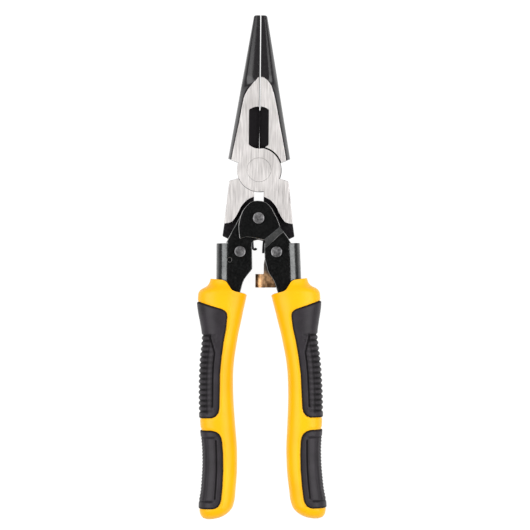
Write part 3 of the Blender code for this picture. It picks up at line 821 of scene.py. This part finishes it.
armPiece("rightArm", "right_handle", "right_arm", rightSide, arm["rightLean"])
armPiece("leftArm", "left_handle", "left_arm", leftSide, -arm["leftLean"])
print("arms made")


# The rivets, bush, spring and latch.

rivet = {
    "shank": 2.0,
    "headHeight": 1.1,
    "centreHead": 2.5,
    "linkHead": 2.4,
    "edge": 0.3,
    "dish": [(0.62, 0.02), (0.3, 0.07), (0.0, 0.09)],   # share of the head's radius, and depth
    "bushPlay": 0.05,
    "bushEdge": 0.15,
}


def rivetPiece(name, body, node, centre, head, turn):
    # A flat head with a soft edge and a shallow dish, the same at both ends.
    top = planSize(node, 2) / 2
    under, edge = top - rivet["headHeight"], rivet["edge"]
    upper = [(rivet["shank"], under), (head, under), (head, top - edge),
             (head - edge * 0.3, top - edge * 0.3), (head - edge, top)]
    upper += [(head * share, top - depth) for share, depth in rivet["dish"]]
    lower = [(radius, -height) for radius, height in reversed(upper)]
    bm = turnedOf(centre, lower + upper, 56)
    return settle(name, bm, rivetSteel, body, node, turn, 40)


rivetPiece("centreRivet", "left_handle", "centre_rivet", centrePin, rivet["centreHead"], rightSide)
rivetPiece("rightLinkRivet", "right_handle", "right_link_rivet", linkPin, rivet["linkHead"], rightSide)
rivetPiece("leftLinkRivet", "left_handle", "left_link_rivet", linkPin, rivet["linkHead"], leftSide)


def bushPiece():
    half = planSize("spring_bush", 2) / 2
    outer = planSize("spring_bush", 0) / 2
    inner, edge = rivet["shank"] + rivet["bushPlay"], rivet["bushEdge"]
    bm = turnedOf(centrePin, [(inner, -half), (outer - edge, -half), (outer, edge - half),
                              (outer, half - edge), (outer - edge, half), (inner, half),
                              (inner, -half)], 48)
    return settle("springBush", bm, rivetSteel, "left_handle", "spring_bush")


bushPiece()

spring = {
    "coilRadius": 3.8,
    "turns": 3.5,
    "stepsPerTurn": 40,
    "coilZ": (-1.4, 2.5),
    "legZ": -2.55,              # the right leg's own part turn lies under the coil
    "legTurn": 80,
    "wire": 0.52,
    "rightLeg": [(2.15, -36.3, -1.1), (2.2, -34.0, -1.2), (2.5, -30.5, -1.5), (3.3, -25.5, -2.1)],
    "leftLeg": [(-3.4, -25.5, 2.1), (-2.75, -30.0, 1.5), (-2.55, -32.6, 1.2), (-2.4, -33.9, 1.1),
                (-1.9, -34.6, 1.1), (-1.2, -34.6, 1.1), (-0.85, -34.1, 1.1)],
}


def wirePiece(name, body, points, radius):
    # A round wire along a smooth curve, made a mesh with closed ends.
    curve = bpy.data.curves.new(name, "CURVE")
    curve.dimensions = "3D"
    curve.bevel_depth = radius
    curve.bevel_resolution = 4
    curve.use_fill_caps = True
    line = curve.splines.new("POLY")
    line.points.add(len(points) - 1)
    for point, place in zip(line.points, points):
        point.co = (*place, 1.0)
    shape = bpy.data.objects.new(name, curve)
    bpy.context.scene.collection.objects.link(shape)
    bm = bmesh.new()
    bm.from_mesh(finishedMesh(shape))
    bpy.data.objects.remove(shape, do_unlink=True)
    bmesh.ops.remove_doubles(bm, verts=bm.verts, dist=1e-4)
    bmesh.ops.recalc_face_normals(bm, faces=bm.faces)
    return settle(name, bm, springSteel, body, "return_spring")


def springPieces():
    radius, (low, high) = spring["coilRadius"], spring["coilZ"]
    steps = int(spring["turns"] * spring["stepsPerTurn"])
    turns = arcPoints(centrePin, radius, 0, 360 * spring["turns"], steps)
    coil = [(x, y, low + (high - low) * step / steps) for step, (x, y) in enumerate(turns)]
    leftLeg = curveThrough([coil[-1], *spring["leftLeg"]], 8)
    under = [(x, y, spring["legZ"]) for x, y in arcPoints(centrePin, radius, spring["legTurn"], 0, 5)]
    rightLeg = curveThrough([*under, *reversed(spring["rightLeg"])], 8)
    wirePiece("returnSpring", "left_handle", coil + leftLeg[1:], spring["wire"])
    wirePiece("returnSpringLeg", "right_handle", rightLeg, spring["wire"])


springPieces()

latch = {
    "half": 3.0,
    "sheet": 0.9,
    "tabLeft": -1.2,
    "tabTop": -45.4,
    "tabBottom": -51.3,
    "tabReach": 1.2,            # how far the tab's flat ends overlap the cheeks
    "tabRounding": 0.2,
    "play": 0.004,
    "lobeRadius": 4.6,
    "bore": 2.05,
    "rounding": 0.22,
    "fold": ((7.0, -48.0), (5.5, -51.4)),   # a slight fold across the end of each cheek
    "foldWidth": 0.55,
    "foldDrop": 0.28,
    "foldTop": -44.5,
}


def latchCheek(outline, low, high, side):
    bm = plateOf(outline, low, high, latch["rounding"])
    (ax, ay), (bx, by) = latch["fold"]
    normal = Vector((ay - by, bx - ax, 0)).normalized()
    for offset in (0.0, latch["foldWidth"]):
        bmesh.ops.bisect_plane(bm, geom=[*bm.verts, *bm.edges, *bm.faces], dist=1e-5,
                               plane_co=Vector((ax, ay, 0)) + normal * offset, plane_no=normal)
    for vert in bm.verts:
        past = (vert.co - Vector((ax, ay, 0))).dot(normal)
        if vert.co.y < latch["foldTop"]:
            vert.co.z -= side * latch["foldDrop"] * min(max(past / latch["foldWidth"], 0.0), 1.0)
    return bm


def latchPiece():
    # Two cheeks on the link pin, joined by a round thumb tab.
    half, sheet = latch["half"], latch["sheet"]
    inner, middle = half - sheet, latch["tabLeft"] + half
    end = middle + latch["tabReach"]
    ring = [(end, half), *arcPoints((middle, 0), half, 90, 270, 24), (end, -half), (end, -inner),
            *arcPoints((middle, 0), inner, 270, 90, 20), (end, inner)]
    rounded = latch["tabRounding"]
    rings = []
    for y, shrink in ((latch["tabBottom"], rounded), (latch["tabBottom"] + rounded, 0.0),
                      (latch["tabTop"] - rounded, 0.0), (latch["tabTop"], rounded)):
        narrower = 1 - shrink / half * 0.5
        rings.append([(middle + (x - middle) * narrower, y, z) for x, z in ring])
    cheek = [(8.1, -51.0), (7.6, -51.25), (2.2, -51.25), (2.2, -45.5), (2.45, -45.1), (2.45, -41.0),
             (2.9, -38.6), *arcPoints(linkPin, latch["lobeRadius"], 205, -35, 24), (9.6, -44.2)]
    low, high = inner + latch["play"], half - latch["play"]
    bm = combined(
        loftOf(rings),
        ("UNION", latchCheek(cheek, low, high, 1)),
        ("UNION", latchCheek(cheek, -high, -low, -1)),
        ("DIFFERENCE", boreOf(linkPin, latch["bore"])),
    )
    return settle("thumbLatch", bm, latchPlating, "latch", "latch", rightSide, 35)


latchPiece()
print("rivets, spring and latch made")


# The grips and their pads.

grip = {
    "squareness": 2.5,
    "step": 0.7,
    "around": 120,
    "lipDepth": 0.34,           # the yellow rounds down to meet the pads
    "lipWidth": 1.0,
    "lipPower": 1.5,
    "mouthRounding": 1.0,
    "mouthLowest": -58.0,
    "seatDepth": 1.2,           # the grip is sunk this far under its pads
    "seatWall": (0.5, 1.5),     # in from a pad's outline, where its seat goes down
    "toeLength": 6.0,
    "toeSteps": 14,
}

# Grip: y, inner edge, outer edge, half thickness.
gripRows = [(-44.6, 4.6, 20.8, 6.5), (-46.6, 4.6, 21.0, 6.6), (-49.2, 4.6, 21.7, 6.9),
            (-50.6, 4.6, 22.9, 7.2), (-51.8, 4.7, 25.3, 7.8), (-53.3, 4.9, 26.5, 8.2),
            (-55.4, 5.6, 26.8, gripHalf),
            (-58.4, 6.3, 26.9, gripHalf), (-62.0, 7.2, 26.5, 8.2), (-66.0, 8.1, 25.8, 7.9),
            (-71.2, 9.35, 25.1, 7.6), (-76.5, 10.4, 25.5, 7.6), (-82.0, 11.35, 26.2, 7.7),
            (-88.0, 12.0, 26.65, 7.85), (-95.0, 12.2, 26.95, 8.0), (-101.5, 12.1, 27.05, 8.0),
            (-108.0, 11.8, 26.95, 8.0), (-114.0, 11.45, 26.6, 7.9), (-121.0, 11.05, 26.1, 7.8),
            (-128.0, 11.1, 26.1, 7.9), (-134.0, 11.4, 26.5, 8.1), (-139.5, 12.0, 27.05, gripHalf),
            (-144.0, 12.5, 27.8, gripHalf), (-147.3, 13.5, 28.0, 8.15), (-149.3, 15.1, 27.8, 7.4),
            (-150.7, 17.0, 27.3, 6.2), (-151.7, 19.3, 26.4, 4.4), (-152.2, 21.5, 25.0, 2.4)]
# The grip's mouth, and the inner edge of each pad, from the top down.
mouthCurve = [(4.6, -55.7), (6.1, -54.2), (8.3, -53.5), (10.6, -52.9), (12.0, -52.0), (12.9, -50.6),
              (14.2, -48.7), (15.2, -48.1), (16.6, -47.75), (20.9, -47.3)]
upperEdge = [(30.0, -57.0), (26.3, -57.2), (20.3, -59.2), (16.3, -60.4), (14.9, -61.2), (14.1, -62.3),
             (13.9, -63.8), (14.5, -69.0), (15.7, -74.6), (16.8, -81.7), (17.6, -88.9), (18, -100.5),
             (18.1, -103.4), (18.6, -105.7), (19.8, -107.2), (21.6, -107.9), (30.0, -108.0)]
lowerEdge = [(30.0, -112.6), (22, -113.2), (20, -113.7), (18.5, -114.7), (17.6, -116.4), (17.25, -118.3),
             (16.95, -123.3), (17, -130.5), (17.5, -137.8), (18.1, -143.2), (18.6, -144.9),
             (19.5, -146.4), (20.8, -147.2), (22.3, -147.45), (30.0, -147.0)]


def gripSection(y):
    inner, outer, half = smoothValueAt(gripRows, y)
    return (inner + outer) / 2, (outer - inner) / 2, half


def sectionPoint(section, angle, proud=0.0):
    # A point round the grip's squared oval, standing proud of it along its normal.
    middle, wide, high = section
    c, s = math.cos(angle), math.sin(angle)
    power = 2 / grip["squareness"]
    x = wide * math.copysign(abs(c) ** power, c)
    z = high * math.copysign(abs(s) ** power, s)
    if proud:
        nx = math.copysign(abs(x / wide) ** (grip["squareness"] - 1) / wide, x)
        nz = math.copysign(abs(z / high) ** (grip["squareness"] - 1) / high, z)
        length = math.hypot(nx, nz)
        x, z = x + proud * nx / length, z + proud * nz / length
    return middle + x, z


def edgeAt(edge, y):
    # Where the pad's inner edge crosses this height.
    for (ax, ay), (bx, by) in zip(edge, edge[1:]):
        if ay >= y >= by and ay > by:
            return ax + (bx - ax) * (ay - y) / (ay - by)
    return edge[-1][0]


def insidePad(x, y):
    # How far a point lies inside the outline of either pad.
    for edge in (upperEdge, lowerEdge):
        top, bottom = edge[1][1], edge[-2][1]
        if bottom < y < top and x > edgeAt(edge, y):
            return min(planDistance(x, y, edge[1:-1]), top - y, y - bottom)
    return 0.0


def besidePad(x, y):
    # How far a point lies outside the nearer pad's outline.
    return min(planDistance(x, y, upperEdge), planDistance(x, y, lowerEdge))


def gripPiece(name, body, node, turn, lean):
    y, toe = gripRows[0][0], gripRows[-1][0]
    stations = []
    while y > toe + grip["toeLength"]:
        stations.append(y)
        y -= grip["step"]
    for step in range(grip["toeSteps"] + 1):
        stations.append(toe + (y - toe) * (1 - math.sin(math.pi / 2 * step / grip["toeSteps"])))
    rings = []
    for y in stations:
        section = gripSection(y)
        ring = []
        for i in range(grip["around"]):
            angle = 2 * math.pi * (i + 0.5) / grip["around"]
            x, z = sectionPoint(section, angle)
            inside = insidePad(x, y)
            if inside:
                seat = grip["lipDepth"] + grip["seatDepth"] * easeBetween(*grip["seatWall"], inside)
            else:
                near = 1 - easeBetween(0.0, grip["lipWidth"], besidePad(x, y))
                seat = grip["lipDepth"] * near ** grip["lipPower"]
            if seat:
                x, z = sectionPoint(section, angle, -seat)
            ring.append(leaned((x, y, z), lean))
        rings.append(ring)
    outline = [(0.0, -40.0), (0.0, -57.0), *curveThrough(mouthCurve, 4), (32.0, -47.2), (32.0, -40.0)]
    outline = [leaned((x, y, 0.0), lean)[:2] for x, y in outline]
    bm = combined(loftOf(rings), ("DIFFERENCE", plateOf(outline, -12.0, 12.0)))
    sharp = math.radians(51.5)
    rims = [edge for edge in bm.edges if len(edge.link_faces) == 2 and edge.calc_face_angle(0.0) > sharp
            and min(vert.co.y for vert in edge.verts) > grip["mouthLowest"]]
    bmesh.ops.bevel(bm, geom=rims, offset=grip["mouthRounding"], offset_type="OFFSET", segments=4,
                    profile=0.5, affect="EDGES", material=-1, clamp_overlap=True)
    return settle(name, bm, gripPlastic, body, node, turn, 50)


pad = {
    "proud": 0.32,
    "edge": 0.6,
    "sunk": 0.45,
    "depth": 1.0,
    "rowStep": 0.28,
    "across": 110,
    "rimRows": [0.0, 0.04, 0.1, 0.2, 0.34, 0.5],    # finer rows at each end
    "rimEnd": 0.7,
    "ribPitch": 2.36,
    "ribDepth": 0.62,
    "stripDepth": (0.26, 0.24),     # beside the ribs, and how much more between them
    "blockDepth": 0.15,
    "sawPitch": 1.45,
    "sawDepth": 0.34,
    "ledgeY": (-116.5, -144.2),
    "ledgeDepth": 0.34,
    "grooveWidth": 0.34,
    "grooveDepth": 0.62,
    "lipOffset": 0.85,          # a low lip runs along the inner side of each groove
    "lipWidth": 0.45,
    "upperLip": 0.16,
    "lowerLip": 0.14,
    "fullShadeDepth": 0.45,        # dips this deep get the full painted shade, nearly black
}
upperGroove = [(21.7, -72.5), (19.9, -79.5), (20.5, -84.0), (20.9, -90.0), (21.3, -102.9)]
lowerGroove = [(20.1, -117.8), (20.0, -124.0), (20.1, -131.1), (20.5, -137.0), (21.05, -142.9)]


def ridge(distance, width):
    return math.exp(-(distance / width) ** 2)


def grooveRelief(x, y, line, lip):
    # A groove along a line, and the lip beside it.
    groove = pad["grooveDepth"] * ridge(planDistance(x, y, line), pad["grooveWidth"])
    lineX = valueAt([(py, px) for px, py in line], y)[0]
    return groove - lip * ridge(x - lineX + pad["lipOffset"], pad["lipWidth"])


def upperRelief(x, y, turn):
    # Ribs over the outer edge, a sunk strip, a column of blocks, and one long groove. Turn is the
    # angle round the grip from its outer edge, in degrees.
    lengthwise = easeBetween(-71.0, -71.8, y) * easeBetween(-106.6, -105.6, y)
    gap = (0.5 + 0.5 * math.cos(2 * math.pi * (y + 71.9) / pad["ribPitch"])) ** 1.7
    shallow, deeper = pad["stripDepth"]
    blocks = easeBetween(63, 67, turn) * (1 - easeBetween(80, 84, turn))
    dip = pad["ribDepth"] * (1 - easeBetween(52, 60, turn)) * gap
    dip += (shallow + deeper * gap) * ridge(turn - 61, 4.5) + pad["blockDepth"] * blocks * gap
    long = easeBetween(-104.4, -103.4, y) * easeBetween(-71.0, -73.0, y)
    return dip * lengthwise + grooveRelief(x, y, upperGroove, pad["upperLip"] * long)


def lowerRelief(x, y, turn):
    # A raised panel beside one groove, a ledge at each end, and saw teeth over the outer edge.
    lengthwise = easeBetween(-116.6, -117.2, y) * easeBetween(-143.9, -143.3, y)
    ledges = sum(ridge(y - level, pad["ledgeDepth"]) for level in pad["ledgeY"])
    ledges *= pad["ledgeDepth"] * (1 - easeBetween(76, 88, turn))
    phase = (y + 117.0) / pad["sawPitch"] % 1
    teeth = pad["sawDepth"] * (1 - easeBetween(24, 42, turn)) * (1 - abs(2 * phase - 1))
    dip = ledges + (teeth + 0.20 * ridge(turn - 46, 5.0)) * lengthwise
    return dip + grooveRelief(x, y, lowerGroove, pad["lowerLip"] * lengthwise)


def padPiece(name, body, node, turn, lean, edge, relief):
    # A fine grid laid round the grip from edge to edge, shaped, and given its thickness.
    inset = 0.02
    top, bottom = edge[1][1] - inset, min(y for x, y in edge) + inset
    between = top - bottom - 2 * pad["rimEnd"]
    count = int(between / pad["rowStep"])
    rows = [top - step for step in pad["rimRows"]]
    rows += [top - pad["rimEnd"] - between * i / count for i in range(count + 1)]
    rows += [bottom + step for step in reversed(pad["rimRows"])]
    bm = bmesh.new()
    bmesh.ops.create_grid(bm, x_segments=pad["across"], y_segments=len(rows) - 1, size=1.0)
    creaseShade = bm.verts.layers.float.new("crease")
    for vert in bm.verts:
        column = (vert.co.x + 1) / 2
        y = rows[round((1 - vert.co.y) / 2 * (len(rows) - 1))]
        section = gripSection(y)
        middle, wide, high = section
        share = min(max((edgeAt(edge, y) - middle) / wide, -0.98), 0.995)
        reach = math.acos(math.copysign(abs(share) ** (grip["squareness"] / 2), share))
        angle = reach * (2 * column - 1)
        x, z = sectionPoint(section, angle)
        rim = min(planDistance(x, y, edge[1:-1]), top - y + inset, y - bottom + inset,
                  reach * wide * (1 - abs(2 * column - 1)))
        swell = math.sqrt(max(0.0, 1 - (1 - min(rim / pad["edge"], 1.0)) ** 2))
        dip = relief(x, y, abs(math.degrees(angle))) * easeBetween(0.3, 1.1, rim)
        proud = -pad["sunk"] + (pad["proud"] + pad["sunk"]) * swell - dip
        # Painted shade: full in deep dips of the relief and along the sunk rim.
        vert[creaseShade] = min(1.0, max(dip / pad["fullShadeDepth"], 1 - easeBetween(0.35, 1.1, rim)))
        x, z = sectionPoint(section, angle, proud if proud else 1e-6)
        vert.co = leaned((x, y, z), lean)
    bmesh.ops.recalc_face_normals(bm, faces=bm.faces)
    middleFace = min(bm.faces, key=lambda face: abs(face.calc_center_median().z))
    if middleFace.normal.x < 0:
        bmesh.ops.reverse_faces(bm, faces=bm.faces)
    bmesh.ops.solidify(bm, geom=bm.faces, thickness=pad["depth"])
    bmesh.ops.recalc_face_normals(bm, faces=bm.faces)
    return settle(name, bm, padRubber, body, node, turn, 60)


for side, turn, lean in (("right", rightSide, arm["rightLean"]), ("left", leftSide, -arm["leftLean"])):
    body = side + "_handle"
    gripPiece(side + "Grip", body, side + "_grip", turn, lean)
    padPiece(side + "UpperPad", body, side + "_upper_pad", turn, lean, upperEdge, upperRelief)
    padPiece(side + "LowerPad", body, side + "_lower_pad", turn, lean, lowerEdge, lowerRelief)
    print(side, "grip and pads made")


# Floor, light and camera.

stage = {
    "floorSize": 6.0,
    "floorColour": (0.12, 0.12, 0.12),
    "floorGlow": 0.96,
    "backdrop": 0.97,
    "fill": 0.30,
    "softboxPower": 11.5,
    "softboxSize": (1.06, 0.95),
    "softboxPlace": (0.77, 0.0, 0.93),
    "kickPower": 0.8,
    "kickSize": 0.5,
    "kickPlace": (0.75, -0.65, 0.42),
    "flagRadius": 0.45,
    "flagHeight": 1.7,
}


def buildFloor():
    bm = bmesh.new()
    bmesh.ops.create_grid(bm, x_segments=1, y_segments=1, size=stage["floorSize"] / 2)
    floor = looseObject("floor", bm)
    material, tree, shader = startMaterial("floorPaper", {
        "Base Color": (*stage["floorColour"], 1.0), "Roughness": 0.9, "Specular IOR Level": 0.1,
        "Emission Color": (1.0, 1.0, 1.0, 1.0), "Emission Strength": stage["floorGlow"]})
    floor.data.materials.append(material)


def buildFlag():
    # A black card above the camera, so that polished black faces mirror something dark.
    bm = bmesh.new()
    bmesh.ops.create_circle(bm, cap_ends=True, segments=48, radius=stage["flagRadius"])
    bmesh.ops.translate(bm, vec=(0, 0, stage["flagHeight"]), verts=bm.verts)
    flag = looseObject("blackFlag", bm)
    material, tree, shader = startMaterial("flagBlack", {
        "Base Color": (0.0, 0.0, 0.0, 1.0), "Roughness": 1.0, "Specular IOR Level": 0.0})
    flag.data.materials.append(material)


def addLamp(name, place, width, depth, power):
    light = bpy.data.lights.new(name, "AREA")
    light.shape = "RECTANGLE"
    light.size, light.size_y = width, depth
    light.energy = power
    lamp = bpy.data.objects.new(name, light)
    lamp.location = place
    lamp.rotation_euler = Vector(place).to_track_quat("Z", "Y").to_euler()
    bpy.context.scene.collection.objects.link(lamp)


def buildLights():
    x, y, z = stage["softboxPlace"]
    for side in (-1, 1):
        addLamp("softbox", (side * x, y, z), *stage["softboxSize"], stage["softboxPower"])
    addLamp("kick", stage["kickPlace"], stage["kickSize"], stage["kickSize"], stage["kickPower"])


def buildWorld():
    # The backdrop looks white, and lights the tool only a little.
    world = bpy.data.worlds.new("studio")
    world.use_nodes = True
    tree = world.node_tree
    background = tree.nodes["Background"]
    path = tree.nodes.new("ShaderNodeLightPath")
    level = rangeOf(tree, path.outputs["Is Camera Ray"], 0, 1, stage["fill"], stage["backdrop"])
    tree.links.new(level, background.inputs["Strength"])
    background.inputs["Color"].default_value = (1.0, 1.0, 1.0, 1.0)
    bpy.context.scene.world = world


view = {
    "distance": 1.2,
    "width": 0.2317,            # what the frame shows, across
    "aim": (2.985, -41.42),     # plan millimetres at the middle of the frame
    "roll": math.radians(0.56),
}


def buildCamera():
    data = bpy.data.cameras.new("camera")
    data.sensor_width = 36.0
    data.lens = data.sensor_width * view["distance"] / view["width"]
    camera = bpy.data.objects.new("camera", data)
    aimX, aimY = view["aim"]
    camera.location = (pivot.x + aimX * mm, pivot.y + aimY * mm, pivot.z + view["distance"])
    camera.rotation_euler = (0, 0, view["roll"])
    bpy.context.scene.collection.objects.link(camera)
    bpy.context.scene.camera = camera


buildFloor()
buildFlag()
buildLights()
buildWorld()
buildCamera()
bpy.context.scene.view_settings.view_transform = "Standard"
print("stage made")
